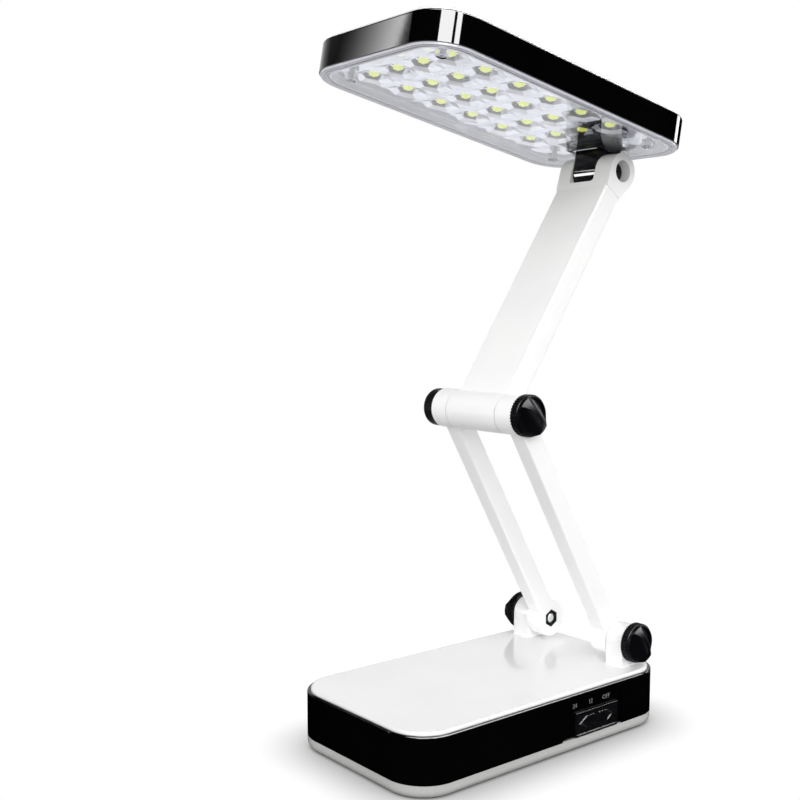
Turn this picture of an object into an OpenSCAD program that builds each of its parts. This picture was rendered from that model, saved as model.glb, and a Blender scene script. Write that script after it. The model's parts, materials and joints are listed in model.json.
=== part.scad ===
// Folding desk lamp: a flat base box, two straight legs on ears, one wide upper arm and a flat
// LED head, joined by three cross hinges so that the whole lamp folds flat.
// Units are millimetres. X runs across the lamp, -Y is the front, +Y the hinge end, Z is up.
// The origin is the middle of the base's underside.

/* [Base box] */
// Width of the base box across the lamp
base_w = 90; // [70:1:130]
// Length of the base box from front to rear
base_l = 159; // [120:1:220]
// Corner radius of the base box seen from above
base_corner_r = 18.5; // [8:0.5:30]
// Height of the white tray under the black band
tray_h = 6; // [4:0.5:10]
// Height of the band's upper edge above the table
band_top = 26.8; // [20:0.1:40]
// How far the base's cover stands above the band
cover_rise = 1.4; // [0.5:0.1:4]
// Wall thickness that frames the covers
rim_wall = 1.2; // [0.8:0.1:3.2]
// Visible seam between a cover and its band
cover_seam = 0.35; // [0.1:0.05:0.6]

/* [Base hinge] */
// Distance of the base hinge behind the middle of the base
hinge_y = 64.4; // [40:0.1:90]
// Height of the base hinge above the table
hinge_z = 39.7; // [34:0.1:60]
// Width of one ear
ear_w = 10; // [6:0.1:16]
// Radius of the ear's round top
ear_r = 8; // [6:0.1:12]

/* [Arms] */
// Length of the legs between their two hinges
leg_len = 131.1; // [90:0.1:180]
// Length of the upper arm between its two hinges
arm_len = 135.5; // [90:0.1:190]
// Direction of the legs, from the rear of the base
leg_angle = 120.3; // [60:0.1:180]
// Direction of the upper arm, from the rear of the base
arm_angle = 56.35; // [0:0.1:120]
// Width of one leg
leg_w = 8.7; // [6:0.1:14]
// Thickness of one leg
leg_t = 9.9; // [6:0.1:14]
// Radius of a leg's foot and ring
leg_eye_r = 9.2; // [7:0.05:14]
// Width of the upper arm
arm_w = 32; // [22:0.5:50]
// Thickness of the upper arm
arm_t = 11; // [8:0.1:18]
// Radius of the round ends of the upper arm's fork
fork_r = 8.7; // [6:0.1:12]

/* [Head] */
// Length of the head
head_l = 162.2; // [120:0.1:220]
// Width of the head
head_w = 91.4; // [70:0.1:130]
// Corner radius of the head seen from above
head_corner_r = 18.5; // [8:0.5:30]
// Height of the head's black band
head_band_h = 13; // [9:0.1:25]
// Angle by which the head's front end is raised
head_tilt = 10.5; // [0:0.1:60]
// Distance from the head hinge to the head's rear edge
head_overhang = 14.2; // [9:0.1:30]
// Height of the band's lower edge above the head hinge
head_drop = 10.8; // [10:0.1:20]
// How far the lens stands below the band
lens_drop = 1.2; // [0.5:0.1:3]
// How far the head's cover stands above its band
head_rise = 1.8; // [0.5:0.1:4]
// Number of LED columns across the head
led_cols = 4; // [2:1:6]
// Number of LED rows along the head
led_rows = 6; // [2:1:8]
// Spacing of the LED columns
led_pitch_x = 16.8; // [10:0.1:25]
// Spacing of the LED rows
led_pitch_y = 20.1; // [10:0.1:30]

/* [Knobs and bolts] */
// Radius of a tightening knob
knob_r = 9.5; // [7:0.1:14]
// Thickness of a knob's ribbed skirt and face
knob_t = 4.6; // [3:0.1:8]
// Height of the grip above a knob's face
grip_h = 4.6; // [2:0.1:8]
// Number of grooves around a knob
knob_grooves = 42; // [12:1:48]
// Radius of the hinge bolts at the base and in the middle
bolt_r = 2.5; // [1.5:0.1:4]
// Radius of the head hinge's screw
head_screw_r = 2; // [1.2:0.1:3]

/* [Switch] */
// Length of the switch slider
slider_l = 28.5; // [15:0.5:40]
// Distance that the slider travels from off to full light
slider_travel = 8.4; // [4:0.1:15]
// Distance of the slider's middle behind the base's middle when it is off
slider_y = 28.8; // [0:0.1:50]

/* [Charging socket] */
// Radius of the socket's hole for a plug
socket_r = 2.85; // [1:0.05:4]
// Radius of the pin inside the socket
socket_pin_r = 1; // [0.3:0.05:1.5]

/* [Hidden] */
$fn = 64;
eps = 0.01;

// clearances
run_gap = 0.08;      // radial play of a bolt in a hinge bore
thread_gap = 0.05;   // radial play between a bolt and its nut
seat_gap = 0.05;     // play between pieces that sit against each other
lip_gap = 0.15;      // play between a lip and the wall around it

// base levels
band_low = tray_h;
cover_top = band_top + cover_rise;
band_wall = rim_wall + 2;            // below the shelf that carries the cover
shelf_z = band_top - 1.6;
tray_floor = 2.2;
lip_t = 1.2;
lip_top = tray_h + 2;
lip_in = band_wall + lip_gap;
plate_t = 2.4;

// across the base hinge: foot, washer, ear, knob
washer_t = 0.4;
foot_in = 17.2;
foot_out = foot_in + leg_w;
ear_in = foot_out + washer_t + 2*seat_gap;
ear_out = ear_in + ear_w;
knob_x = ear_out + seat_gap;

// across the middle hinge: barrel, washer, ring, cap or knob
barrel_half = arm_w/2;
ring_in = barrel_half + washer_t;
ring_out = 26.3;
cap_x = ring_out + seat_gap;
cap_t = 7.1;
cap_r = 8.95;
cap_edge = 2;         // rounding of the cap's edge
barrel_r = 9.2;

// knobs
dish_r = knob_r - 1.8;
dish_t = 0.6;
groove_r = min(0.55, 0.33*2*PI*knob_r/knob_grooves);
arch_r = 14.2;

// fasteners
nut_flats = 8;
nut_corner = nut_flats/2/cos(30);
nut_t = 4;
head_t = 3.5;
small_flats = 7;
small_corner = small_flats/2/cos(30);
small_nut_t = 3.2;

// hinge places in the lamp's own frame
mid_y = hinge_y + leg_len*cos(leg_angle);
mid_z = hinge_z + leg_len*sin(leg_angle);
top_y = mid_y + arm_len*cos(arm_angle);
top_z = mid_z + arm_len*sin(arm_angle);

// across the head hinge: the knuckle sits a little left of the middle
knuckle_left = -8.4;
knuckle_right = 6.1;
head_washer_t = 0.3;
slot_left = knuckle_left - head_washer_t - 2*seat_gap;
slot_right = knuckle_right + head_washer_t + 2*seat_gap;
fork_out = arm_w/2 + 0.4;
ramp_l = 12;         // length over which the panel thickens into the fork
knuckle_r = 8;
screw_seat_x = 9.4;
recess_r = 5.2;
slot_corner = 1.7;

// upper arm shell
arm_wall = 1.8;
arm_cover_t = 1.5;
arm_seam = 0.12;
lead_r = 1.6;
lead_z = arm_t/2 - arm_wall - lead_r - 0.3;
panel_y0 = 4;
panel_y1 = arm_len - 4;
lid_y0 = 14;
fork_slot_y = arm_len - knuckle_r - 1.3;
lid_y1 = arm_len - 21;

// head levels above the head hinge
head_rear = head_overhang;
head_mid_y = head_overhang - head_l/2;
band_z0 = head_drop;
band_z1 = head_drop + head_band_h;
head_top = band_z1 + head_rise;
head_shelf = band_z1 - 1.5;
lens_z0 = head_drop - lens_drop;
lens_t = 1.3;
board_z0 = head_drop + 5.9;
reflector_z0 = board_z0 - 2.9;
board_t = 1.2;
head_ceiling = head_top - plate_t;   // underside of the head's cover plate
reflector_z1 = board_z0 - seat_gap;
led_t = 1.9;
led_size = [3.5, 2.8];
led_mid_y = head_mid_y - 7.1;
cup_in = 4.6;
cup_mid = 5.8;
cup_out = 9.6;
cup_lip = 0.8;
notch_half_l = 10.9;
notch_half_r = 6.5;
notch_y = -9.9;
notch_wall_z = head_drop + 3.7;   // upper edge of the lens's wall around the notch
notch_gap = 4.6;      // room around the notch for the knuckle's flange
rim_groove = 2.3;    // distance of the lens's edge groove from its outside
post_x = head_w/2 - 15.7;
post_y = [head_mid_y - head_l/2 + 15.4, head_mid_y + head_l/2 - 15];
post_r = 2.9;
head_boss_z = board_z0 + board_t + 0.1;
flange_z0 = head_ceiling - 4.6;
flange_t = 2;
flange_y0 = -12;
flange_x0 = -15;
flange_w = 26.6;
knuckle_screw_x = [flange_x0 + 3, flange_x0 + flange_w - 3];

// switch
recess_y0 = slider_y - slider_l/2 - slider_travel - 0.2;
recess_y1 = slider_y + slider_l/2 + 3.2;
recess_z1 = 18.3;
recess_floor = base_w/2 - 0.9;
slider_z0 = band_low + 0.35;
slider_z1 = 17.6;
slider_proud = 0.25;
slider_frame_t = 0.5;
arrow_l = 4.8;
arrow_h = 6;
stem_z = 12;
stem_h = 4;
stem_l = 5;
switch_w = 6.4;
switch_h = 7;
switch_x1 = base_w/2 - band_wall - 4.4;
switch_x0 = switch_x1 - switch_w;
pcb_z0 = 6.9;
switch_z0 = pcb_z0 + 1.6 + seat_gap;

// places of the base's screws and feet
screw_post_r = 4.2;
base_screw = [base_w/2 - 9.4, base_l/2 - 31.5];
foot_pad = [base_w/2 - 15.5, base_l/2 - 15];
foot_r = 5.5;
foot_t = 1.15;

// battery, in a frame on the tray's floor
battery_w = 31.8;
battery_l = 60.8;
battery_h = 17.6;
battery_x0 = 7.9 - base_w/2;
battery_y0 = 2.9 + screw_post_r - base_screw[1];
battery_z0 = tray_floor + seat_gap;
frame_wall = 1.6;
frame_gap = 0.1;
terminal_x = [7.1, 23.1];
terminal_w = 4.8;
terminal_z = tray_floor + 19;

// control board, on stand-offs beside the battery
pcb_w = 34.4;
pcb_l = 38.5;
pcb_t = 1.6;
pcb_x0 = base_w/2 - band_wall - 2.4 - pcb_w;
pcb_y0 = base_screw[1] - screw_post_r - 0.3 - pcb_l;
stand_off_r = 2.2;

// charging socket, in the wall at the hinge end
socket_x = 20;
socket_z = 14;
socket_w = 10;
socket_l = 12;
socket_h = 10.9;
socket_nose_r = 4.6;
socket_y1 = base_l/2 - band_wall;

white = [0.93, 0.93, 0.92];
black = [0.03, 0.03, 0.035];
steel = [0.62, 0.63, 0.65];
copper = [0.72, 0.36, 0.2];
clear = [0.85, 0.9, 0.95, 0.35];

// Shared shapes

// rounded rectangle, centred
module plan(w, l, r) {
  square([w - 2*r, l], center = true);
  square([w, l - 2*r], center = true);
  for (sx = [-1, 1], sy = [-1, 1])
    translate([sx*(w/2 - r), sy*(l/2 - r)]) circle(r);
}

module slab(w, l, r, z0, z1) {
  translate([0, 0, z0]) linear_extrude(z1 - z0) plan(w, l, r);
}

// upright section of a plate with rounded lower and upper edges
module section(w, z0, z1, low, high) {
  translate([-w/2, z0 + low]) square([w, z1 - z0 - low - high]);
  if (low > 0) {
    translate([low - w/2, z0]) square([w - 2*low, low + eps]);
    for (s = [-1, 1]) translate([s*(w/2 - low), z0 + low]) intersection() {
      circle(low);
      translate([-low, -low]) square([2*low, low + eps]);
    }
  }
  if (high > 0) {
    translate([high - w/2, z1 - high - eps]) square([w - 2*high, high + eps]);
    for (s = [-1, 1]) translate([s*(w/2 - high), z1 - high]) intersection() {
      circle(high);
      translate([-high, -eps]) square([2*high, high + eps]);
    }
  }
}

// rounded rectangular plate whose lower and upper edges are rounded too
module soft_slab(w, l, r, z0, z1, low, high) {
  translate([0, l/2 - r, 0]) rotate([90, 0, 0]) linear_extrude(l - 2*r)
    section(w, z0, z1, low, high);
  translate([r - w/2, 0, 0]) rotate([90, 0, 90]) linear_extrude(w - 2*r)
    section(l, z0, z1, low, high);
  for (sx = [-1, 1], sy = [-1, 1])
    translate([sx*(w/2 - r), sy*(l/2 - r), 0]) rotate_extrude()
      intersection() {
        section(2*r, z0, z1, low, high);
        translate([0, z0 - 1]) square([r + 1, z1 - z0 + 2]);
      }
}

// rod along X from x0 to x1
module rod(r, x0, x1) {
  translate([x0, 0, 0]) rotate([0, 90, 0]) cylinder(r = r, h = x1 - x0);
}

// hexagonal bar along X, one flat up
module hex_rod(corner, x0, x1) {
  translate([x0, 0, 0]) rotate([0, 90, 0]) cylinder(r = corner, h = x1 - x0, $fn = 6);
}

// ring along X
module ring(r_out, r_in, x0, x1) {
  difference() {
    rod(r_out, x0, x1);
    rod(r_in, x0 - 1, x1 + 1);
  }
}

// a shape drawn in the Y-Z plane and given a width from x0 to x1
module across(x0, x1) {
  translate([x0, 0, 0]) rotate([90, 0, 90]) linear_extrude(x1 - x0) children();
}

// round wire through a row of points
module wire(points, r) {
  for (i = [0 : len(points) - 2]) {
    step = points[i + 1] - points[i];
    far = norm(step);
    translate(points[i])
      rotate([0, acos(step[2]/far), atan2(step[1], step[0])]) cylinder(r = r, h = far, $fn = 24);
    if (i > 0) translate(points[i]) sphere(r*1.04, $fn = 24);
  }
}

// frames of the moving pieces
module at_base_hinge(a = 0) { translate([0, hinge_y, hinge_z]) rotate([a, 0, 0]) children(); }
module at_middle_hinge(a = 0) { translate([0, mid_y, mid_z]) rotate([a, 0, 0]) children(); }
module at_head() { translate([0, top_y, top_z]) rotate([-head_tilt, 0, 0]) children(); }
module on_leg() { at_base_hinge(leg_angle) children(); }
module on_arm() { at_middle_hinge(arm_angle) children(); }

module four(p) { for (sx = [-1, 1], sy = [-1, 1]) translate([sx*p[0], sy*p[1], 0]) children(); }
module posts() { for (sx = [-1, 1], y = post_y) translate([sx*post_x, y, 0]) children(); }
module led_places() {
  for (i = [0 : led_cols - 1], j = [0 : led_rows - 1])
    translate([(i - (led_cols - 1)/2)*led_pitch_x,
               led_mid_y + (j - (led_rows - 1)/2)*led_pitch_y, 0]) children();
}

// Base box

module battery_block(grow, z0, h) {
  translate([battery_x0 - grow, battery_y0 - grow, z0])
    cube([battery_w + 2*grow, battery_l + 2*grow, h]);
}

module pcb_corners() {
  for (x = [pcb_x0 + 4, pcb_x0 + pcb_w - 5.4], y = [pcb_y0 + 4, pcb_y0 + pcb_l - 4])
    translate([x, y, 0]) children();
}

module base_tray() {
  color(white) difference() {
    union() {
      soft_slab(base_w, base_l, base_corner_r, 0, tray_h - seat_gap, 3.6, 0);
      // lip that lines the band up
      slab(base_w - 2*lip_in, base_l - 2*lip_in, base_corner_r - lip_in, tray_h - 1, lip_top);
    }
    // hollow above the floor, left solid where a screw or a stand-off stands
    difference() {
      slab(base_w - 2*(lip_in + lip_t), base_l - 2*(lip_in + lip_t),
           base_corner_r - lip_in - lip_t, tray_floor, lip_top + 1);
      four(base_screw) cylinder(r = screw_post_r, h = 8.4);
      // stand-offs under the control board
      pcb_corners() cylinder(r = stand_off_r, h = pcb_z0 - seat_gap);
      // frame around the battery
      difference() {
        battery_block(frame_wall + frame_gap, 0, lip_top);
        battery_block(frame_gap, tray_floor, lip_top);
        // gap in the frame's two long sides
        translate([battery_x0 - 8, battery_y0 + 16, tray_floor]) cube([battery_w + 26, 30, lip_top]);
      }
      // cradle under the charging socket
      translate([socket_x - socket_w/2 - 1, socket_y1 - socket_l - 0.3, 0])
        cube([socket_w + 2, 8, lip_top]);
    }
    four(base_screw) {
      translate([0, 0, -1]) cylinder(r = 1.7, h = 12);
      translate([0, 0, -1]) cylinder(r = 2.9, h = 4.4);
    }
    four(foot_pad) translate([0, 0, -1]) cylinder(r = foot_r + frame_gap, h = foot_t + 1.05);
  }
}

module base_band() {
  color(black) difference() {
    soft_slab(base_w, base_l, base_corner_r, band_low, band_top, 0, 0.8);
    slab(base_w - 2*band_wall, base_l - 2*band_wall, base_corner_r - band_wall, 0, band_top + 1);
    slab(base_w - 2*rim_wall, base_l - 2*rim_wall, base_corner_r - rim_wall, shelf_z, band_top + 1);
    // shallow recess that the switch slides in, open towards the tray
    translate([recess_floor, recess_y0, band_low - 1])
      cube([5, recess_y1 - recess_y0, recess_z1 - band_low + 1]);
    // slot for the slider's stem
    translate([base_w/2 - band_wall - 1, slider_y - slider_travel - stem_l/2 - 0.3,
               stem_z - stem_h/2 - 0.2])
      cube([5, slider_travel + stem_l + 0.6, stem_h + 0.4]);
    // hole for the charging socket
    translate([socket_x, socket_y1 - 5, socket_z]) rotate([-90, 0, 0])
      cylinder(r = socket_nose_r + seat_gap, h = 12);
  }
}

module ear_outline() {
  circle(ear_r);
  drop = hinge_z - cover_top;
  translate([-ear_r, -drop - 1]) square([2*ear_r, drop + 1]);
  // small fillets where the ear meets the cover
  f = 0.8;
  for (s = [-1, 1]) difference() {
    translate([s > 0 ? ear_r - eps : -ear_r - f, -drop - 1]) square([f + eps, f + 1]);
    translate([s*(ear_r + f), f - drop]) circle(f);
  }
}

module base_cover() {
  inset = rim_wall + cover_seam;
  color(white) difference() {
    union() {
      soft_slab(base_w - 2*inset, base_l - 2*inset, base_corner_r - inset,
                shelf_z + seat_gap, cover_top, 0, 1.3);
      for (s = [-1, 1]) at_base_hinge()
        across(s > 0 ? ear_in : -ear_out, s > 0 ? ear_out : -ear_in) ear_outline();
    }
    // hollow underside
    difference() {
      slab(base_w - 11, base_l - 11, base_corner_r - 5.5, shelf_z - 1, cover_top - plate_t);
      translate([-45, hinge_y - 9, shelf_z]) cube([90, 2, 5]);
      translate([-45, hinge_y + 7, shelf_z]) cube([90, 2, 5]);
      four(base_screw) translate([0, 0, 8]) cylinder(r = 3.2, h = 20);
    }
    at_base_hinge() rod(bolt_r + run_gap, -ear_out - 1, ear_out + 1);
  }
  // posts that the base's screws bite into
  color(white) four(base_screw) difference() {
    translate([0, 0, 8.5]) cylinder(r = 3.2, h = cover_top - plate_t - 8.5 + 0.2);
    translate([0, 0, 8]) cylinder(r = 1.2, h = 15);
  }
}

module base_feet() {
  color([0.1, 0.1, 0.1]) four(foot_pad) cylinder(r = foot_r, h = foot_t);
}

module base_screws() {
  color(steel) four(base_screw) difference() {
    union() {
      translate([0, 0, 3.4 - 1.8]) cylinder(r = 2.6, h = 1.75);
      translate([0, 0, 3]) cylinder(r = 1.15, h = 15.5);
    }
    for (a = [0, 90]) rotate(a) translate([-1.5, -0.3, 1]) cube([3, 0.6, 1.4]);
  }
}

module battery() {
  color([0.22, 0.23, 0.25]) {
    battery_block(0, battery_z0, battery_h);
    // terminals
    for (x = terminal_x) translate([battery_x0 + x, battery_y0 + battery_l - 8, battery_z0 + battery_h - 1])
      cube([terminal_w, 0.8, 4.6]);
  }
}

module battery_leads() {
  color([0.7, 0.08, 0.06]) for (k = [0, 1]) {
    x = battery_x0 + terminal_x[k] + terminal_w/2;
    y = battery_y0 + battery_l - 6;
    wire([[x, y, terminal_z], [x, y + 3 + 3*k, terminal_z],
          [pcb_x0 + 1 + 4*k, y + 8 + 4*k, terminal_z - 0.8],
          [pcb_x0 + 5 + 4*k, y + 8 + 4*k, pcb_z0 + pcb_t + 0.95]], 0.9);
  }
}

module control_board() {
  top = pcb_z0 + pcb_t - 0.1;
  color([0.07, 0.3, 0.14]) translate([pcb_x0, pcb_y0, pcb_z0]) cube([pcb_w, pcb_l, pcb_t]);
  // charging parts soldered on the board
  color([0.1, 0.1, 0.1]) translate([pcb_x0, pcb_y0, top]) {
    translate([9, 6, 0]) cylinder(r = 3.2, h = 10);
    translate([15, pcb_l - 12, 0]) cube([7, 9, 3]);
    translate([4, pcb_l - 9, 0]) cube([5, 4, 2.2]);
    for (i = [0 : 3]) translate([16, 4 + 4*i, 0]) cube([6, 2.2, 2.2]);
  }
}

module slide_switch() {
  half = slider_travel/2 + 6;
  mid = slider_y - slider_travel/2;
  color(steel) difference() {
    translate([switch_x0, mid - half, switch_z0]) cube([switch_w, 2*half, switch_h]);
    translate([switch_x0 + 2, mid - slider_travel/2 - 1.8, stem_z - 1.7])
      cube([9, slider_travel + 3.6, 3.4]);
  }
}

module switch_lever() {
  color(black) translate([switch_x0 + 2.2, slider_y - 1.5, stem_z - 1.5])
    cube([base_w/2 - band_wall - 2.2 - switch_x0, 3, 3]);
}

// outline of an arrow on the slider, drawn pointing along +X
module arrow_outline() {
  difference() {
    polygon([[0, -arrow_h/2], [arrow_l, 0], [0, arrow_h/2]]);
    polygon([[0.5, 1 - arrow_h/2], [arrow_l - 1.5, 0], [0.5, arrow_h/2 - 1]]);
  }
}

module switch_slider() {
  face = base_w/2 + slider_proud;
  back = recess_floor + seat_gap;
  field = face - slider_frame_t;
  mid_z = (slider_z0 + slider_z1)/2;
  color(black) {
    difference() {
      translate([back, slider_y - slider_l/2, slider_z0])
        cube([face - back, slider_l, slider_z1 - slider_z0]);
      // sunk field inside the slider's frame
      translate([field, slider_y - slider_l/2 + 0.8, slider_z0 + 0.8])
        cube([1, slider_l - 1.6, slider_z1 - slider_z0 - 1.6]);
    }
    // arrows towards both ends, and grip ribs between them
    for (s = [-1, 1]) {
      translate([field - 0.1, slider_y + s*6.8, mid_z]) rotate([90, 0, 90])
        linear_extrude(0.5) mirror([s < 0 ? 1 : 0, 0]) arrow_outline();
      for (i = [0 : 2]) translate([field - 0.1, slider_y + s*(2.1 + 1.9*i) - 0.35, mid_z - arrow_h/2])
        cube([0.5, 0.7, arrow_h]);
    }
    // stem through the band, and the two lips that hold it
    difference() {
      union() {
        translate([base_w/2 - band_wall - 1.4, slider_y - stem_l/2, stem_z - stem_h/2])
          cube([back - base_w/2 + band_wall + 1.5, stem_l, stem_h]);
        translate([base_w/2 - band_wall - 1.4, slider_y - stem_l/2, stem_z - 3.2])
          cube([1.2, stem_l, 6.4]);
      }
      translate([base_w/2 - band_wall - 4, slider_y - 1.6, stem_z - 1.6]) cube([4.2, 3.2, 3.2]);
    }
  }
}

module charging_socket() {
  color(black) difference() {
    union() {
      translate([socket_x - socket_w/2, socket_y1 - socket_l - 0.2, lip_top + seat_gap])
        cube([socket_w, socket_l, socket_h]);
      translate([socket_x, socket_y1 - 1, socket_z]) rotate([-90, 0, 0])
        cylinder(r = socket_nose_r, h = band_wall + 0.8);
    }
    translate([socket_x, socket_y1 - 7.8, socket_z]) rotate([-90, 0, 0])
      cylinder(r = socket_r, h = 14);
  }
  color(steel) translate([socket_x, socket_y1 - 8.8, socket_z]) rotate([-90, 0, 0])
    cylinder(r = socket_pin_r, h = 10.6);
}

// Legs

module leg(side) {
  // side 1 is the right leg, -1 the left one
  difference() {
    union() {
      rod(leg_eye_r, foot_in, foot_out);
      translate([foot_in + leg_w/2, 0, 0]) rotate([-90, 0, 0]) linear_extrude(leg_len)
        plan(leg_w, leg_t, 0.8);
      translate([0, leg_len, 0]) rod(leg_eye_r, ring_in, ring_out);
    }
    // bolt bores
    rod(bolt_r + run_gap, 0, 60);
    translate([0, leg_len, 0]) rod(bolt_r + run_gap, 0, 60);
    // pocket for the nut in the foot's inner face
    hex_rod(nut_corner + 0.1, 0, foot_in + nut_t + 0.1);
    if (side < 0) {
      // seat of the cap, and the pocket for the middle nut under it
      translate([0, leg_len, 0]) rod(6.7, ring_out - 2.2, 60);
      translate([0, leg_len, 0]) hex_rod(nut_corner + 0.1, ring_out - 2.2 - nut_t - 0.1, 60);
    } else {
      // channel for the lead
      translate([foot_in + leg_w/2, 12, 0]) rotate([-90, 0, 0]) cylinder(r = 1.7, h = leg_len - 24);
    }
  }
}

module leg_right() { color(white) on_leg() leg(1); }
module leg_left() { color(white) on_leg() mirror([1, 0, 0]) leg(-1); }

module leg_lead() {
  color([0.1, 0.1, 0.1]) on_leg() translate([foot_in + leg_w/2, 12.1, 0]) rotate([-90, 0, 0])
    cylinder(r = 1.6, h = leg_len - 24.2);
}

// cross-section of a knob's grip: a thin crest whose hollow flanks run down to the dished face
module grip_section() {
  flank_r = grip_h + dish_t + 1.6;
  flank_x = knob_t - dish_t + flank_r;
  difference() {
    translate([knob_t - dish_t - 0.5, -dish_r]) square([grip_h + dish_t + 0.5, 2*dish_r]);
    for (s = [-1, 1]) translate([flank_x, s*(flank_r + 0.6)]) circle(flank_r);
    for (s = [-1, 1]) translate([knob_t - dish_t, s > 0 ? flank_r + 0.6 : -flank_r - 10.6])
      square([20, 10]);
  }
}

// knob with ribbed skirt, a dished face and a raised grip across it, from x = 0 outwards
module knob(grip_angle) {
  difference() {
    union() {
      difference() {
        union() {
          rotate([90, 0, 90]) linear_extrude(knob_t - 1.1) difference() {
            circle(knob_r);
            for (i = [0 : knob_grooves - 1]) rotate(i*360/knob_grooves)
              translate([knob_r + 0.1, 0]) circle(groove_r, $fn = 16);
          }
          translate([knob_t - 1.1 - eps, 0, 0]) rotate([0, 90, 0])
            cylinder(r1 = knob_r, r2 = knob_r - 0.9, h = 1.1 + eps);
        }
        rod(dish_r, knob_t - dish_t, knob_t + 1);
      }
      rotate([grip_angle, 0, 0]) intersection() {
        rotate([90, 0, 0]) translate([0, 0, -knob_r]) linear_extrude(2*knob_r) grip_section();
        rod(knob_r - 0.3, 0, knob_t + grip_h + 1);
        translate([knob_t + grip_h - arch_r, 0, 0]) sphere(arch_r, $fn = 96);
      }
    }
    hex_rod(nut_corner + 0.05, -1, head_t + 0.1);
  }
}

// bolt whose head sits in the knob at x = 0 and whose shank reaches back to x = -reach
module bolt(reach) {
  hex_rod(nut_corner, seat_gap, head_t);
  difference() {
    rod(bolt_r, -reach, head_t - 0.5);
    difference() {
      rod(bolt_r + 1, -reach - 1, 0.6 - reach);
      translate([-reach - eps, 0, 0]) rotate([0, 90, 0])
        cylinder(r1 = bolt_r - 0.5, r2 = bolt_r + 0.1, h = 0.6 + 2*eps);
    }
  }
}

base_reach = knob_x - foot_in - 0.3;

module base_knob_right() { color(black) at_base_hinge() translate([knob_x, 0, 0]) knob(-62); }
module base_knob_left() {
  color(black) at_base_hinge() mirror([1, 0, 0]) translate([knob_x, 0, 0]) knob(-5);
}
module base_bolt_right() { color(steel) at_base_hinge() translate([knob_x, 0, 0]) bolt(base_reach); }
module base_bolt_left() {
  color(steel) at_base_hinge() mirror([1, 0, 0]) translate([knob_x, 0, 0]) bolt(base_reach);
}

module nut(corner, bore, x0, x1) {
  difference() {
    hex_rod(corner, x0, x1);
    rod(bore, x0 - 1, x1 + 1);
  }
}

module base_nuts() {
  color(black) on_leg() for (s = [0, 1]) mirror([s, 0, 0])
    nut(nut_corner, bolt_r + thread_gap, foot_in + seat_gap, foot_in + nut_t);
}

module base_washers() {
  color(steel) at_base_hinge() for (s = [0, 1]) mirror([s, 0, 0])
    ring(6.5, bolt_r + run_gap, foot_out + seat_gap, foot_out + seat_gap + washer_t);
}

// Middle hinge

module middle_knob() { color(black) at_middle_hinge() translate([cap_x, 0, 0]) knob(-47); }
module middle_bolt() {
  color(steel) at_middle_hinge() translate([cap_x, 0, 0]) bolt(cap_x + ring_out - 1.6);
}
module middle_nut() {
  color(steel) on_leg() translate([0, leg_len, 0]) mirror([1, 0, 0])
    nut(nut_corner, bolt_r + thread_gap, ring_out - 2.2 - nut_t, ring_out - 2.2 - seat_gap);
}

module middle_cap() {
  color(black) at_middle_hinge() mirror([1, 0, 0]) difference() {
    union() {
      translate([cap_x, 0, 0]) rotate([0, 90, 0]) rotate_extrude() intersection() {
        section(2*cap_r, 0, cap_t, 0, cap_edge);
        square([cap_r + 1, cap_t + 1]);
      }
      // spigot that snaps into the leg's ring
      rod(6.6, cap_x - 1.9, cap_x + 1);
    }
    rod(5.1, cap_x - 3, cap_x + cap_t - 1.8);
  }
}

module middle_washers() {
  color(steel) at_middle_hinge() for (s = [0, 1]) mirror([s, 0, 0])
    ring(6.5, bolt_r + run_gap, barrel_half + seat_gap, ring_in - seat_gap);
}

// Upper arm

// the arm's solid envelope: barrel, panel and fork
module arm_envelope() {
  // where the thickening panel touches the fork's round end
  a = atan2(arm_t/2, -ramp_l) - acos(fork_r/norm([ramp_l, arm_t/2]));
  touch = fork_r*[cos(a), sin(a)];
  rod(barrel_r, -barrel_half, barrel_half);
  translate([0, panel_y0, 0]) rotate([-90, 0, 0]) linear_extrude(panel_y1 - panel_y0)
    plan(arm_w, arm_t, 1.2);
  translate([0, arm_len, 0]) {
    rod(fork_r, -fork_out, fork_out);
    across(-fork_out, fork_out) polygon([[-ramp_l, arm_t/2], touch, [touch[0], -touch[1]],
      [-ramp_l, -arm_t/2]]);
  }
}

module arm_lid(gap) {
  // outline of the rear cover plate
  translate([-arm_w/2 - 1, lid_y0 - gap, -arm_t/2 - 1])
    cube([arm_w + 2, lid_y1 - lid_y0 + 2*gap, arm_cover_t + gap + 1]);
}

module upper_arm_body() {
  color(white) on_arm() difference() {
    arm_envelope();
    arm_lid(arm_seam);
    // hollow for the lead
    translate([-arm_w/2 + arm_wall, lid_y0, arm_t/2 - arm_wall - arm_t])
      cube([arm_w - 2*arm_wall, lid_y1 - lid_y0, arm_t]);
    rod(bolt_r + run_gap, -30, 30);
    // slot of the fork, with round corners at its bottom
    translate([(slot_left + slot_right)/2, fork_slot_y + 20, -20])
      linear_extrude(40) plan(slot_right - slot_left, 40, slot_corner);
    translate([0, arm_len, 0]) {
      rod(head_screw_r + run_gap, -30, 30);
      rod(recess_r, screw_seat_x, 30);
      hex_rod(small_corner + 0.1, -30, -fork_out + small_nut_t + 0.2);
    }
  }
}

module upper_arm_cover() {
  color(white) on_arm() {
    intersection() {
      arm_envelope();
      arm_lid(0);
    }
    // snap rails inside the arm
    for (s = [-1, 1]) translate([s > 0 ? arm_w/2 - arm_wall - 1.4 : -arm_w/2 + arm_wall + 0.2,
                                 lid_y0 + 10, -arm_t/2 + arm_cover_t - 0.1])
      cube([1.2, lid_y1 - lid_y0 - 24, arm_t/2 - arm_cover_t - 1.5]);
  }
}

module arm_lead() {
  color([0.1, 0.1, 0.1]) on_arm() wire([[9, lid_y0 + 1, lead_z], [9, 60, lead_z], [-2, 85, lead_z],
    [-2, lid_y1 - 1, lead_z]], lead_r);
}

// Head hinge

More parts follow.
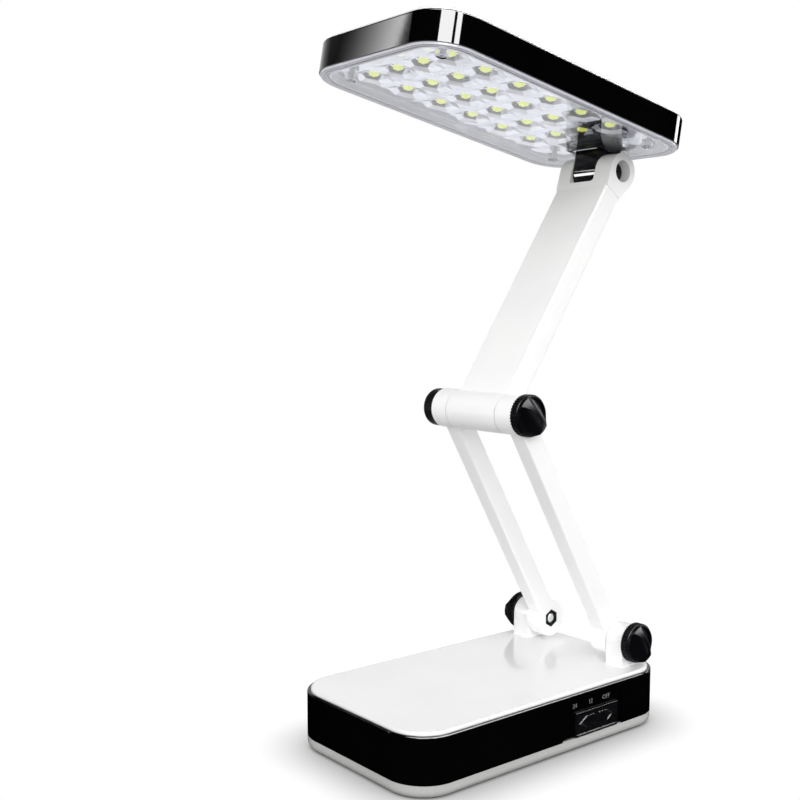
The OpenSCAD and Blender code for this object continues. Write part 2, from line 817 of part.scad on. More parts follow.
module head_hinge_screw() {
  color([0.16, 0.16, 0.18]) at_head() difference() {
    union() {
      rod(4.3, screw_seat_x + seat_gap, screw_seat_x + 2.6);
      rod(head_screw_r, -fork_out + 0.6, screw_seat_x + 1);
    }
    for (a = [20, 110]) rotate([a, 0, 0])
      translate([screw_seat_x + 1.3, -2.6, -0.45]) cube([3, 5.2, 0.9]);
  }
}

module head_hinge_nut() {
  color(steel) on_arm() translate([0, arm_len, 0])
    nut(small_corner, head_screw_r + thread_gap, -fork_out + 0.1, -fork_out + small_nut_t + 0.1);
}

module head_hinge_washers() {
  color(steel) at_head() for (x = [slot_left + seat_gap, knuckle_right + seat_gap])
    ring(5.5, head_screw_r + run_gap, x, x + head_washer_t);
}

module head_knuckle() {
  color(black) at_head() difference() {
    union() {
      across(knuckle_left, knuckle_right) {
        circle(knuckle_r);
        polygon([[-knuckle_r, 0], [knuckle_r, 0], [knuckle_r + 0.3, 9], [knuckle_r + 0.3, flange_z0 + 1],
                 [-knuckle_r, flange_z0 + 1]]);
      }
      translate([flange_x0, flange_y0, flange_z0]) cube([flange_w, 21.5, flange_t]);
    }
    rod(head_screw_r + run_gap, -20, 20);
    for (x = knuckle_screw_x) translate([x, -2, flange_z0 - 1]) cylinder(r = 1.25, h = 5);
    // hollow that the lead comes up through, and its groove across the flange
    translate([-4.6, -6, 4.2]) cube([6, 10, 30]);
    translate([-3.5, -13, flange_z0 + flange_t - 1]) cube([3.8, 8, 3]);
  }
}

module knuckle_screws() {
  color(steel) at_head() for (x = knuckle_screw_x) translate([x, -2, 0]) {
    translate([0, 0, flange_z0 - 1.4]) cylinder(r = 2, h = 1.35);
    translate([0, 0, flange_z0 - 0.5]) cylinder(r = 1.15, h = head_ceiling - flange_z0);
  }
}

// Head

module head_slab(inset, z0, z1) {
  translate([0, head_mid_y, 0])
    slab(head_w - 2*inset, head_l - 2*inset, head_corner_r - inset, z0, z1);
}

module head_cover() {
  inset = rim_wall + cover_seam;
  color(white) at_head() {
    difference() {
      translate([0, head_mid_y, 0])
        soft_slab(head_w - 2*inset, head_l - 2*inset, head_corner_r - inset,
                  head_shelf + seat_gap, head_top, 0, 1.7);
      head_slab(5.5, head_shelf - 1, head_ceiling);
    }
    // posts for the lens screws and pedestals for the knuckle
    posts() difference() {
      translate([0, 0, head_boss_z]) cylinder(r = 2.8, h = head_ceiling - head_boss_z + 0.2);
      translate([0, 0, head_boss_z - 1]) cylinder(r = 1.2, h = head_ceiling - head_boss_z + 1);
    }
    for (x = knuckle_screw_x) translate([x, -2, 0]) difference() {
      translate([0, 0, flange_z0 + flange_t + seat_gap])
        cylinder(r = 2.6, h = head_ceiling - flange_z0 - flange_t + 0.2);
      cylinder(r = 1.2, h = head_ceiling);
    }
  }
}

module head_band() {
  color(black) at_head() difference() {
    translate([0, head_mid_y, 0])
      soft_slab(head_w, head_l, head_corner_r, band_z0, band_z1, 0, 0.8);
    head_slab(band_wall, 0, band_z1 + 1);
    head_slab(rim_wall, head_shelf, band_z1 + 1);
  }
}

module notch_block(grow, z0, z1) {
  translate([-notch_half_l - grow, notch_y - grow, z0])
    cube([notch_half_l + notch_half_r + 2*grow, 60, z1 - z0]);
}

module lens() {
  lens_in = 0.7;
  lip = band_wall + lip_gap;
  lip_z = band_z0 + 2.6;
  wall = 1.3;
  groove_w = 0.5;
  groove_t = 0.4;
  color(clear) at_head() difference() {
    union() {
      difference() {
        union() {
          translate([0, head_mid_y, 0])
            soft_slab(head_w - 2*lens_in, head_l - 2*lens_in, head_corner_r - lens_in,
                      lens_z0, band_z0 - seat_gap, 0.6, 0);
          head_slab(lip, band_z0 - 0.5, lip_z);
        }
        // hollow behind the clear face, kept away from the wall around the notch
        difference() {
          head_slab(lip + wall, lens_z0 + lens_t, lip_z + 2);
          notch_block(wall, 0, 40);
        }
      }
      // wall around the notch
      intersection() {
        notch_block(wall, band_z0, notch_wall_z);
        head_slab(lip, band_z0 - 1, notch_wall_z);
      }
      posts() translate([0, 0, lens_z0 + lens_t - 0.3])
        cylinder(r = post_r, h = reflector_z1 - lens_z0 - lens_t + 0.3);
    }
    notch_block(0, 0, 40);
    // groove around the edge of the clear face
    difference() {
      head_slab(rim_groove, lens_z0 - 1, lens_z0 + groove_t);
      head_slab(rim_groove + groove_w, lens_z0 - 2, lens_z0 + 1);
      notch_block(wall + 0.5, 0, 40);
    }
    posts() {
      cylinder(r = 1.25, h = 40);
      translate([0, 0, lens_z0 - 1]) cylinder(r = 2.1, h = 2.6);
    }
  }
}

module reflector() {
  face_t = 2;
  edge = band_wall + lip_gap + 1.5;
  skirt_t = 0.8;
  color([0.78, 0.79, 0.82]) at_head() difference() {
    union() {
      head_slab(edge, reflector_z0, reflector_z0 + face_t);
      // edge turned down towards the lens
      difference() {
        head_slab(edge, lens_z0 + lens_t + lip_gap, reflector_z0 + 1);
        head_slab(edge + skirt_t, lens_z0, reflector_z0);
      }
      // collars that reach up to the board
      led_places() translate([0, 0, reflector_z0 + 1])
        cylinder(r = cup_mid + 0.6, h = reflector_z1 - reflector_z0 - 1, $fn = 6);
    }
    // six-sided cup around each LED, steep inside and shallow outside
    led_places() {
      translate([0, 0, reflector_z0 - eps])
        cylinder(r1 = cup_out, r2 = cup_mid, h = cup_lip + eps, $fn = 6);
      translate([0, 0, reflector_z0 + cup_lip - eps])
        cylinder(r1 = cup_mid, r2 = cup_in, h = reflector_z1 - reflector_z0 - cup_lip + 2*eps, $fn = 6);
    }
    posts() cylinder(r = post_r + 0.3, h = 40);
    notch_block(notch_gap, 0, 40);
  }
}

module led_board() {
  edge = 6.5;    // distance from the board's edge to the outside of the head
  y0 = head_mid_y - head_l/2 + edge;
  y1 = flange_y0 - 2;
  color([0.88, 0.89, 0.87]) at_head() difference() {
    translate([0, (y0 + y1)/2, board_z0]) linear_extrude(board_t) plan(head_w - 2*edge, y1 - y0, 8);
    posts() cylinder(r = 1.6, h = 40);
  }
}

module led_chips() {
  color([0.95, 0.85, 0.15]) at_head() led_places()
    translate([-led_size.x/2, -led_size.y/2, board_z0 - led_t])
      cube([led_size.x, led_size.y, led_t - seat_gap]);
}

module head_screws() {
  color(steel) at_head() posts() difference() {
    union() {
      translate([0, 0, lens_z0 + 0.5]) cylinder(r = 1.95, h = 1.05);
      translate([0, 0, lens_z0 + 1]) cylinder(r = 1.15, h = head_ceiling - lens_z0 - 1.5);
    }
    for (a = [0, 90]) rotate(a) translate([-1.2, -0.25, lens_z0]) cube([2.4, 0.5, 1.1]);
  }
}

module head_lead() {
  r = 1.5;
  z = head_ceiling - 1.04*r - 0.2;
  pcb_top = board_z0 + board_t + 1.04*r + 0.1;
  color([0.1, 0.1, 0.1]) at_head() wire([[-1.6, -1, 12], [-1.6, -1, z], [-1.6, -16, z],
    [-1.6, -24, pcb_top], [-1.6, -30, pcb_top]], r);
}

base_tray();
base_band();
base_cover();
base_feet();
base_screws();
battery();
battery_leads();
control_board();
slide_switch();
charging_socket();
switch_slider();
switch_lever();
leg_left();
leg_right();
leg_lead();
base_knob_left();
base_knob_right();
base_bolt_left();
base_bolt_right();
base_nuts();
base_washers();
middle_knob();
middle_bolt();
middle_nut();
middle_cap();
middle_washers();
upper_arm_body();
upper_arm_cover();
arm_lead();
head_hinge_screw();
head_hinge_nut();
head_hinge_washers();
head_knuckle();
knuckle_screws();
head_cover();
head_band();
lens();
reflector();
led_board();
led_chips();
head_screws();
head_lead();
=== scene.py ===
import json
import math

import bpy
from mathutils import Matrix, Vector


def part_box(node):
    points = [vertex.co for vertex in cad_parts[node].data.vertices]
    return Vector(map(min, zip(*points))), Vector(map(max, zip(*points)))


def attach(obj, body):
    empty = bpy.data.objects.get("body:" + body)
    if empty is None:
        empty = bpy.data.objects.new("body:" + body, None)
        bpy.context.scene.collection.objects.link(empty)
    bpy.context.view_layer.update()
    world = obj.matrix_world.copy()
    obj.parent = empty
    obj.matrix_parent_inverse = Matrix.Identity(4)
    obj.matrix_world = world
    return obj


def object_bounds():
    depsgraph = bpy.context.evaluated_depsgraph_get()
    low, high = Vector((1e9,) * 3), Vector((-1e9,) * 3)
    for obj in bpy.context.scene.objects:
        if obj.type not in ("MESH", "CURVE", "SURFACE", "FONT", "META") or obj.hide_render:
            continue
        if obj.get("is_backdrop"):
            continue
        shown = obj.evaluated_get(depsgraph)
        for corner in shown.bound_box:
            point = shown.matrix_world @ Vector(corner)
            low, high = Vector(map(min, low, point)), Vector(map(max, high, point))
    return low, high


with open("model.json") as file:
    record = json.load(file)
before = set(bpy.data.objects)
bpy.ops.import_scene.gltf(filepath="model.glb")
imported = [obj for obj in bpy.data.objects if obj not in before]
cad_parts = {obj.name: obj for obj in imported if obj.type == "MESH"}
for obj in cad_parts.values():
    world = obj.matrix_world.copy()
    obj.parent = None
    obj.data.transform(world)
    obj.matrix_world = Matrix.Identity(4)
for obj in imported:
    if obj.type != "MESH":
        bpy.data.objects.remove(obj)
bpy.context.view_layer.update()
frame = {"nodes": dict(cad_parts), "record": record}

MM = 0.001

# Camera, solved from measured edge points of the photo
CAMERA_PLACE = (375.06 * MM, -359.43 * MM, 200.14 * MM)
CAMERA_AZIMUTH = math.radians(51.257)
CAMERA_PITCH = math.radians(6.184)
PHOTO_PX = 800
FOCAL_PX = 1122.92
CENTRE_PX = (388.0, 430.0)
SENSOR_MM = 36.0

# The head's outline, in the photo's pose
HEAD_HINGE = (0.0, 73.34 * MM, 265.69 * MM)
HEAD_TILT = math.radians(10.5)
HEAD_LENGTH, HEAD_WIDTH, HEAD_CORNER_R = 162.2 * MM, 91.4 * MM, 18.5 * MM
HEAD_MIDDLE = 14.2 * MM - HEAD_LENGTH / 2


# Shader building

class Flow:
    """A shader value that takes part in arithmetic."""

    def __init__(self, paint, socket):
        self.paint = paint
        self.socket = socket

    def _math(self, operation, a, b):
        node = self.paint.add("ShaderNodeMath", {"operation": operation}, {0: a, 1: b})
        return Flow(self.paint, node.outputs[0])

    def __add__(self, other):
        return self._math("ADD", self, other)

    def __radd__(self, other):
        return self._math("ADD", other, self)

    def __sub__(self, other):
        return self._math("SUBTRACT", self, other)

    def __rsub__(self, other):
        return self._math("SUBTRACT", other, self)

    def __mul__(self, other):
        return self._math("MULTIPLY", self, other)

    def __rmul__(self, other):
        return self._math("MULTIPLY", other, self)

    def __pow__(self, other):
        return self._math("POWER", self, other)

    def above(self, limit):
        return self._math("GREATER_THAN", self, limit)

    def most(self, other):
        return self._math("MAXIMUM", self, other)

    def size(self):
        """The value without its sign."""
        return self.most(self * -1.0)

    def ramp(self, low, high, out_low=0.0, out_high=1.0):
        node = self.paint.add("ShaderNodeMapRange", {"clamp": True},
                              {0: self, 1: low, 2: high, 3: out_low, 4: out_high})
        return Flow(self.paint, node.outputs[0])


class Paint:
    """A node-based material or world, built one node at a time."""

    def __init__(self, owner):
        self.owner = owner
        owner.use_nodes = True
        self.tree = owner.node_tree
        self.tree.nodes.clear()

    def add(self, kind, settings=None, inputs=None):
        node = self.tree.nodes.new(kind)
        for key, value in (settings or {}).items():
            setattr(node, key, value)
        for key, value in (inputs or {}).items():
            if isinstance(value, Flow):
                self.tree.links.new(value.socket, node.inputs[key])
            else:
                node.inputs[key].default_value = value
        return node

    def flow(self, node, output=0):
        return Flow(self, node.outputs[output])

    def place(self):
        return self.flow(self.add("ShaderNodeTexCoord"), "Object")

    def axes(self, vector):
        node = self.add("ShaderNodeSeparateXYZ", None, {0: vector})
        return [self.flow(node, axis) for axis in "XYZ"]

    def noise(self, scale, detail=2.0, roughness=0.5):
        return self.flow(self.add("ShaderNodeTexNoise", None, {
            "Vector": self.place(), "Scale": scale, "Detail": detail, "Roughness": roughness}))

    def blend_colours(self, factor, first, second):
        node = self.add("ShaderNodeMix", {"data_type": "RGBA"},
                        {0: factor, 6: (*first, 1.0), 7: (*second, 1.0)})
        return self.flow(node, 2)

    def bump(self, height, strength, distance, normal=None):
        inputs = {"Height": height, "Strength": strength, "Distance": distance}
        if normal:
            inputs["Normal"] = normal
        return self.flow(self.add("ShaderNodeBump", None, inputs), "Normal")

    def soft_edges(self, radius):
        """Normal that rounds a moulding's edges, so that they catch the light."""
        return self.flow(self.add("ShaderNodeBevel", {"samples": 8}, {"Radius": radius}))

    def body(self, inputs):
        return self.flow(self.add("ShaderNodeBsdfPrincipled", None, inputs))

    def glow(self, colour):
        return self.flow(self.add("ShaderNodeEmission", None, {"Color": colour, "Strength": 1.0}))

    def blend_shaders(self, factor, first, second):
        return self.flow(self.add("ShaderNodeMixShader", None, {0: factor, 1: first, 2: second}))

    def surface(self, shader):
        is_world = isinstance(self.owner, bpy.types.World)
        kind = "ShaderNodeOutputWorld" if is_world else "ShaderNodeOutputMaterial"
        self.add(kind, None, {"Surface": shader})


def material(name):
    return Paint(bpy.data.materials.new(name))


# Materials

# noise scales, per metre
FLOW_MARKS, MOULD_GRAIN = 28.0, 900.0
MACHINING, PATCHES = 1500.0, 160.0
LENS_HAZE, LENS_GRAIN = 40.0, 600.0
PLATING_WAVES, PLATING_GRAIN = 60.0, 700.0

GLOSS_GRAIN = 0.03
# painted light: the lens rim is painted milky white with a faint glow, a painted sheen for the light
# that the lens's thick edges catch
PAINTED_RIM_SHEEN, PAINTED_RIM_SHEEN_SHARE = 4.8 * MM, 0.3
PAINTED_EDGE_SHEEN, PAINTED_EDGE_SHEEN_SHARE = 0.9 * MM, 0.4
PAINTED_RIM_GLOW = 0.12
DULL_EDGE, DULL_EDGE_LOSS = 8.0 * MM, 0.7


def moulded(name, colour, shade, rough, grain, specular=0.5, coat=0.0, edge=0.0, glow=0.0):
    """Moulded plastic: faint flow marks in its colour, uneven gloss, a fine grain; a glow, where one
    is given, is painted light in its own colour.
    """
    paint = material(name)
    broad = paint.noise(FLOW_MARKS, 3.0)
    fine = paint.noise(MOULD_GRAIN, 2.0, 0.6)
    normal = paint.bump(fine, grain, 0.1 * MM, paint.soft_edges(edge) if edge else None)
    paint.surface(paint.body({
        "Base Color": paint.blend_colours(broad.ramp(0.35, 0.65), colour, shade),
        "Roughness": broad.ramp(0.3, 0.7, *rough) + (fine - 0.5) * GLOSS_GRAIN, "Normal": normal,
        "Specular IOR Level": specular, "Coat Weight": coat, "Coat Roughness": 0.04,
        "Emission Color": (*colour, 1.0), "Emission Strength": glow}))
    return paint.owner


def metal(name, colour, shade, rough, grain, metallic):
    """Plated or blackened steel with fine machining marks."""
    paint = material(name)
    streaks = paint.noise(MACHINING, 4.0, 0.7)
    patches = paint.noise(PATCHES)
    paint.surface(paint.body({
        "Base Color": paint.blend_colours(patches.ramp(0.3, 0.7), colour, shade),
        "Metallic": metallic, "Roughness": streaks.ramp(0.3, 0.7, *rough),
        "Normal": paint.bump(streaks, grain, 0.05 * MM)}))
    return paint.owner


def head_rim(paint, depth):
    """1 in the outermost part of the head, as seen from below, to the depth given."""
    x, y, z = paint.axes(paint.place())
    along = (y - HEAD_HINGE[1]) * math.cos(HEAD_TILT) - (z - HEAD_HINGE[2]) * math.sin(HEAD_TILT)
    side = (x.size() - (HEAD_WIDTH / 2 - HEAD_CORNER_R)).most(0.0)
    end = ((along - HEAD_MIDDLE).size() - (HEAD_LENGTH / 2 - HEAD_CORNER_R)).most(0.0)
    return ((side * side + end * end) ** 0.5).above(HEAD_CORNER_R - depth)


def clear_plastic():
    """Clear moulded lens with a little haze; its rim is painted milky white with a faint glow, a
    painted sheen for the light that its thick edges catch.
    """
    paint = material("lens_clear")
    haze = paint.noise(LENS_HAZE, 3.0)
    body = paint.body({
        "Base Color": paint.blend_colours(haze, (0.97, 0.98, 1.0), (0.93, 0.94, 0.99)),
        "Roughness": haze.ramp(0.3, 0.7, 0.0, 0.04), "IOR": 1.35, "Transmission Weight": 1.0,
        "Normal": paint.bump(paint.noise(LENS_GRAIN), 0.05, 0.05 * MM)})
    through = paint.flow(paint.add("ShaderNodeBsdfTransparent", None,
                                   {"Color": (0.96, 0.965, 0.98, 1.0)}))
    light = paint.add("ShaderNodeLightPath")
    passing = paint.flow(light, "Is Shadow Ray").most(paint.flow(light, "Is Diffuse Ray"))
    # painted sheen: milky white with a glow, mixed into the lens rim
    painted_rim_light = paint.body({
        "Base Color": (0.8, 0.8, 0.88, 1.0), "Roughness": 0.25,
        "Emission Color": (0.93, 0.93, 1.0, 1.0), "Emission Strength": PAINTED_RIM_GLOW})
    rim = head_rim(paint, PAINTED_RIM_SHEEN) * PAINTED_RIM_SHEEN_SHARE + head_rim(paint, PAINTED_EDGE_SHEEN) * PAINTED_EDGE_SHEEN_SHARE
    clear = paint.blend_shaders(passing, body, through)
    paint.surface(paint.blend_shaders(rim, clear, painted_rim_light))
    return paint.owner


def metallised():
    """Vacuum-metallised plastic with slight waves, duller at the edge turned down to the lens."""
    paint = material("reflector_metallised")
    wave = paint.noise(PLATING_WAVES)
    fine = paint.noise(PLATING_GRAIN, 3.0)
    paint.surface(paint.body({
        "Base Color": paint.blend_colours(wave.ramp(0.3, 0.7), (0.96, 0.97, 0.99), (0.9, 0.9, 0.95)),
        "Metallic": 0.95 - head_rim(paint, DULL_EDGE) * DULL_EDGE_LOSS,
        "Roughness": fine.ramp(0.3, 0.7, 0.03, 0.07), "Normal": paint.bump(wave, 0.8, 1.4 * MM)}))
    return paint.owner


SHELL_COLOURS = ((0.93, 0.93, 0.925), (0.905, 0.905, 0.905))
BLACK_COLOURS = ((0.0008, 0.0008, 0.0009), (0.0012, 0.0012, 0.0014))

WHITE = moulded("white_gloss", *SHELL_COLOURS, (0.1, 0.2), 0.03, coat=0.3)
# painted shade: the shell's white, darkened for the base cover, whose top faces the light from above
COVER_PAINTED_SHADE = moulded("white_cover_painted_shade", (0.85, 0.85, 0.85), (0.83, 0.83, 0.83), (0.1, 0.2), 0.03, coat=0.3)
SATIN = moulded("white_satin", *SHELL_COLOURS, (0.28, 0.4), 0.05, specular=0.4)
# painted shade: the shell's white, darkened to about half for the base tray, which sits low by the
# floor in shade
TRAY_PAINTED_SHADE = moulded("white_tray_painted_shade", (0.49, 0.49, 0.48), (0.46, 0.46, 0.45), (0.2, 0.3), 0.03, specular=0.3)
BLACK = moulded("black_gloss", *BLACK_COLOURS, (0.03, 0.06), 0.01)
LEDGE = moulded("black_gloss_ledge", *BLACK_COLOURS, (0.03, 0.06), 0.01, edge=1.2 * MM)
KNOB = moulded("black_satin", (0.002, 0.002, 0.0028), (0.004, 0.004, 0.0056), (0.28, 0.38), 0.1,
               specular=0.12, edge=0.25 * MM)
SWITCH = moulded("switch_black", (0.003, 0.003, 0.0035), (0.005, 0.005, 0.006), (0.16, 0.24), 0.1,
                 edge=0.5 * MM)
STEEL = metal("plated_steel", (0.9, 0.9, 0.9), (0.8, 0.8, 0.81), (0.25, 0.4), 0.2, 0.35)
DARK = metal("blackened_steel", (0.004, 0.004, 0.005), (0.008, 0.008, 0.009), (0.3, 0.5), 0.3, 0.5)
# painted light: the LEDs are not lit, yet their phosphor is given a glow
PHOSPHOR_PAINTED_GLOW = moulded("led_phosphor_painted_glow", (0.9, 0.98, 0.2), (0.84, 0.92, 0.12), (0.4, 0.6), 0.3, glow=0.45)
# painted light: the white board behind the lens is given a glow, to brighten the inside of the head
BOARD_WHITE_PAINTED_GLOW = moulded("board_white", (0.88, 0.88, 0.9), (0.82, 0.82, 0.85), (0.3, 0.5), 0.2, glow=0.4)
BOARD_GREEN = moulded("board_green", (0.02, 0.16, 0.05), (0.015, 0.12, 0.04), (0.25, 0.4), 0.2)
BATTERY = moulded("battery_case", (0.03, 0.032, 0.037), (0.04, 0.042, 0.047), (0.4, 0.6), 0.3)
WIRE_BLACK = moulded("wire_black", (0.012, 0.012, 0.012), (0.02, 0.02, 0.02), (0.35, 0.5), 0.1)
WIRE_RED = moulded("wire_red", (0.4, 0.012, 0.01), (0.32, 0.01, 0.008), (0.35, 0.5), 0.1)
RUBBER = moulded("foot_rubber", (0.012, 0.012, 0.012), (0.02, 0.02, 0.02), (0.6, 0.85), 0.5)
PRINT = moulded("white_print", (0.16, 0.16, 0.16), (0.11, 0.11, 0.11), (0.5, 0.7), 0.1)

finish = {
    "white_shell": WHITE, "black_band": BLACK, "knuckle_black": BLACK, "black_knob": KNOB,
    "black_switch": SWITCH, "clear_lens": clear_plastic(), "silver_reflector": metallised(),
    "led_yellow": PHOSPHOR_PAINTED_GLOW, "board_white": BOARD_WHITE_PAINTED_GLOW, "board_green": BOARD_GREEN,
    "steel": STEEL, "dark_steel": DARK, "battery_wrap": BATTERY, "wire_black": WIRE_BLACK,
    "wire_red": WIRE_RED, "rubber_pad": RUBBER,
}
own_finish = {"base_tray": TRAY_PAINTED_SHADE, "base_band": LEDGE, "base_cover": COVER_PAINTED_SHADE, "upper_arm_body": SATIN,
              "upper_arm_cover": SATIN, "leg_left": SATIN, "leg_right": SATIN}
slot_of = {part["node"]: part["material_slot"] for part in frame["record"]["subparts"]}
for name, piece in frame["nodes"].items():
    for i in range(len(piece.data.materials)):
        piece.data.materials[i] = own_finish.get(name, finish[slot_of[name]])


# Printed marks above the switch, one over each place of the slider

MARK_HEIGHT = 2.1 * MM
MARK_DEPTH = 0.02 * MM
CAPITAL_SHARE = 0.7  # height of a capital letter in a font of size 1
MARK_RISE = 3.8 * MM
MARK_OFFSETS = {"24": -15.1 * MM, "12": -4.5 * MM, "OFF": 6.2 * MM}

band_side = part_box("base_band")[1].x
slider_low, slider_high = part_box("switch_slider")


def printed_mark(word, y, z):
    curve = bpy.data.curves.new("mark_" + word, "FONT")
    curve.body = word
    curve.size = MARK_HEIGHT / CAPITAL_SHARE
    curve.extrude = MARK_DEPTH
    curve.align_x = "CENTER"
    curve.align_y = "CENTER"
    word_object = bpy.data.objects.new("mark_" + word, curve)
    bpy.context.scene.collection.objects.link(word_object)
    bpy.context.view_layer.update()
    graph = bpy.context.evaluated_depsgraph_get()
    mesh = bpy.data.meshes.new_from_object(word_object.evaluated_get(graph))
    bpy.data.objects.remove(word_object)
    x = band_side + MARK_DEPTH / 2
    mesh.transform(Matrix(((0, 0, 1, x), (1, 0, 0, y), (0, 1, 0, z), (0, 0, 0, 1))))
    mesh.materials.clear()
    mesh.materials.append(PRINT)
    mark = bpy.data.objects.new("mark_" + word, mesh)
    bpy.context.scene.collection.objects.link(mark)
    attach(mark, "base")


for word, offset in MARK_OFFSETS.items():
    printed_mark(word, (slider_low.y + slider_high.y) / 2 + offset, slider_high.z + MARK_RISE)


# Camera

lens_data = bpy.data.cameras.new("camera")
lens_data.sensor_width = SENSOR_MM
lens_data.lens = FOCAL_PX / PHOTO_PX * SENSOR_MM
lens_data.shift_x = (PHOTO_PX / 2 - CENTRE_PX[0]) / PHOTO_PX
lens_data.shift_y = (CENTRE_PX[1] - PHOTO_PX / 2) / PHOTO_PX
lens_data.clip_start = 0.01
camera = bpy.data.objects.new("camera", lens_data)
camera.location = CAMERA_PLACE
camera.rotation_euler = (math.pi / 2 - CAMERA_PITCH, 0, CAMERA_AZIMUTH)
bpy.context.scene.collection.objects.link(camera)
bpy.context.scene.camera = camera


# Floor and world

FLOOR_REACH = 12.0
SHADOW_REACH = 24 * MM


def stage_sheet(name, half_width, half_height, look):
    mesh = bpy.data.meshes.new(name)
    w, h = half_width, half_height
    mesh.from_pydata([(-w, -h, 0), (w, -h, 0), (w, h, 0), (-w, h, 0)], [], [(0, 1, 2, 3)])
    mesh.materials.append(look)
    thing = bpy.data.objects.new(name, mesh)
    bpy.context.scene.collection.objects.link(thing)
    thing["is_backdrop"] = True
    return thing


def behind_lamp(paint, place, near, far):
    """0 in front of the lamp and 1 behind it, along the way the camera looks."""
    along = paint.add("ShaderNodeVectorMath", {"operation": "DOT_PRODUCT"},
                      {0: place, 1: (-math.sin(CAMERA_AZIMUTH), math.cos(CAMERA_AZIMUTH), 0.0)})
    return paint.flow(along, "Value").ramp(near, far)


def ray_kinds(paint):
    """Masks for camera rays, for rays through glass, and for rays mirrored by a surface."""
    light = paint.add("ShaderNodeLightPath")
    through = paint.flow(light, "Is Transmission Ray")
    direct = paint.flow(light, "Is Camera Ray")
    return direct, through, paint.flow(light, "Is Glossy Ray") * (1.0 - through)


def floor_look():
    """White floor with a soft contact shadow; mirrored, it is white behind the lamp alone."""
    paint = material("pale_floor")
    direct, through, mirrored = ray_kinds(paint)
    lit = paint.flow(paint.add("ShaderNodeBsdfDiffuse", None, {
        "Color": paint.blend_colours(paint.noise(30.0, 3.0), (0.42, 0.42, 0.42),
                                     (0.405, 0.405, 0.405))}))
    contact = paint.flow(paint.add("ShaderNodeAmbientOcclusion", {"samples": 16},
                                   {"Distance": SHADOW_REACH}), "AO")
    white = paint.glow((1, 1, 1, 1))
    black = paint.flow(paint.add("ShaderNodeBsdfDiffuse", None, {"Color": (0, 0, 0, 1)}))
    shaded_white = paint.glow(paint.blend_colours(contact, (0, 0, 0), (1, 1, 1)))
    seen = paint.blend_shaders(direct, lit, shaded_white)
    echo = paint.blend_shaders(behind_lamp(paint, paint.place(), 0.06, 0.4), black, white)
    paint.surface(paint.blend_shaders(through.most(mirrored), seen, echo))
    return paint.owner


stage_sheet("floor", FLOOR_REACH, FLOOR_REACH, floor_look())

# The sky is brightest on the right. Mirrored, it is white low behind the lamp and high on the
# right, and black elsewhere, so that the gloss black stays black and its ledge has a bright line.
DAYLIGHT, DAYLIGHT_RIGHT, DAYLIGHT_ABOVE = 1.02, 0.56, -0.28
LEDGE_LIGHT = 26.0
LEDGE_LIGHT_WAY = (0.976, -0.216)

world = bpy.data.worlds.new("studio")
bpy.context.scene.world = world
air = Paint(world)
direct, through, mirrored = ray_kinds(air)
way = air.flow(air.add("ShaderNodeTexCoord"), "Generated")
x, y, z = air.axes(way)
daylight = z * DAYLIGHT_ABOVE + x * DAYLIGHT_RIGHT + DAYLIGHT
backdrop = behind_lamp(air, way, 0.25, 0.75)
low_wall = z.ramp(0.17, 0.23) * (1.0 - z.ramp(0.44, 0.52))
high = (z + y * 0.12).ramp(0.5, 0.56) * (1.0 - z.ramp(0.84, 0.9))
right = (x * LEDGE_LIGHT_WAY[0] + y * LEDGE_LIGHT_WAY[1]).ramp(0.117, 0.27)
echo = (through + mirrored * low_wall) * backdrop + mirrored * high * right * LEDGE_LIGHT
strength = direct.most((1.0 - through.most(mirrored)) * daylight).most(echo)
sky = air.add("ShaderNodeBackground", None, {"Color": (1.0, 1.0, 1.0, 1.0), "Strength": strength})
air.surface(air.flow(sky))


# Studio panels and lights

HEAD_FRONT = (0.0, -0.08, 0.28)
HEAD_CORNER = (0.04, -0.07, 0.28)
HEAD_END = (0.04, 0.07, 0.28)
KNUCKLE = (0.0, 0.065, 0.262)
LAMP_MIDDLE = Vector((0, 0, 0.15))


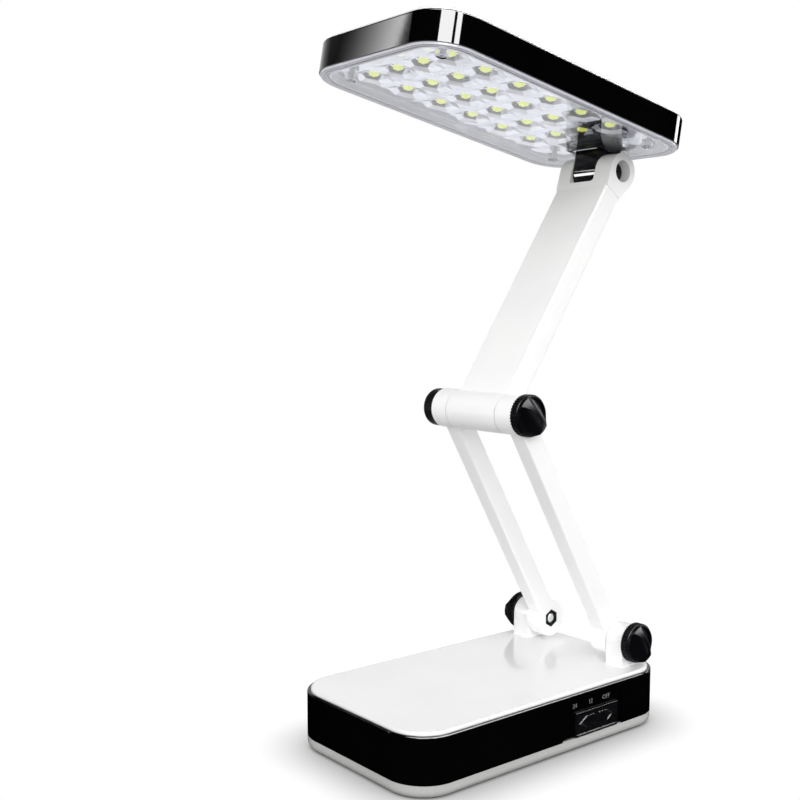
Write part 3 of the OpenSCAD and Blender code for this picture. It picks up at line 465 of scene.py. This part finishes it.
def bearing(azimuth, elevation):
    """Unit vector towards an azimuth, from the lamp's front to its right, and an elevation."""
    az, el = math.radians(azimuth), math.radians(elevation)
    return Vector((math.sin(az) * math.cos(el), -math.cos(az) * math.cos(el), math.sin(el)))


def reflected_panel(name, aim, azimuth, elevation, distance, width, height, strength, fade):
    """Panel that only mirrored rays see. It fades out to the left by the power given."""
    paint = material(name)
    level = paint.axes(paint.place())[0].ramp(-width / 2, width / 2) ** fade
    paint.surface(paint.flow(paint.add("ShaderNodeEmission", None, {
        "Color": paint.blend_colours(level, (0, 0, 0), (1, 1, 1)), "Strength": strength})))
    towards = bearing(azimuth, elevation)
    side = bearing(azimuth + 90.0, 0.0)
    sheet = stage_sheet(name, width / 2, height / 2, paint.owner)
    turn = Matrix((side, side.cross(towards), towards)).transposed().to_4x4()
    turn.translation = Vector(aim) + towards * distance
    sheet.matrix_world = turn
    sheet.visible_camera = False
    sheet.visible_diffuse = False
    sheet.visible_transmission = False
    sheet.visible_shadow = False


for panel in (
        ("panel_wide", HEAD_CORNER, 52.0, 28.0, 1.5, 0.84, 0.7, 22.0, 0.0),
        ("panel_thin", HEAD_CORNER, 82.6, 22.5, 1.5, 0.3, 0.7, 22.0, 0.0),
        ("panel_left", HEAD_FRONT, -58.5, 25.3, 2.5, 0.148, 0.5, 8.5, 2.1),
        ("panel_end", HEAD_END, 167.5, 6.6, 2.0, 0.56, 0.3, 9.0, 0.0),
        ("panel_low", KNUCKLE, -41.45, 0.0, 3.0, 0.1, 0.84, 22.0, 0.0)):
    reflected_panel(*panel)


def soft_box(name, azimuth, elevation, distance, size, power):
    data = bpy.data.lights.new(name, "AREA")
    data.size = size
    data.energy = power
    box = bpy.data.objects.new(name, data)
    towards = bearing(azimuth, elevation)
    box.location = LAMP_MIDDLE + towards * distance
    box.rotation_euler = towards.to_track_quat("Z", "Y").to_euler()
    box.visible_glossy = False
    box.visible_camera = False
    bpy.context.scene.collection.objects.link(box)


soft_box("key_right", 66.0, 24.0, 2.0, 1.0, 12.0)
soft_box("front", -5.0, 20.0, 2.0, 1.2, 9.0)

view = bpy.context.scene.view_settings
view.view_transform = "Standard"

low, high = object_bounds()
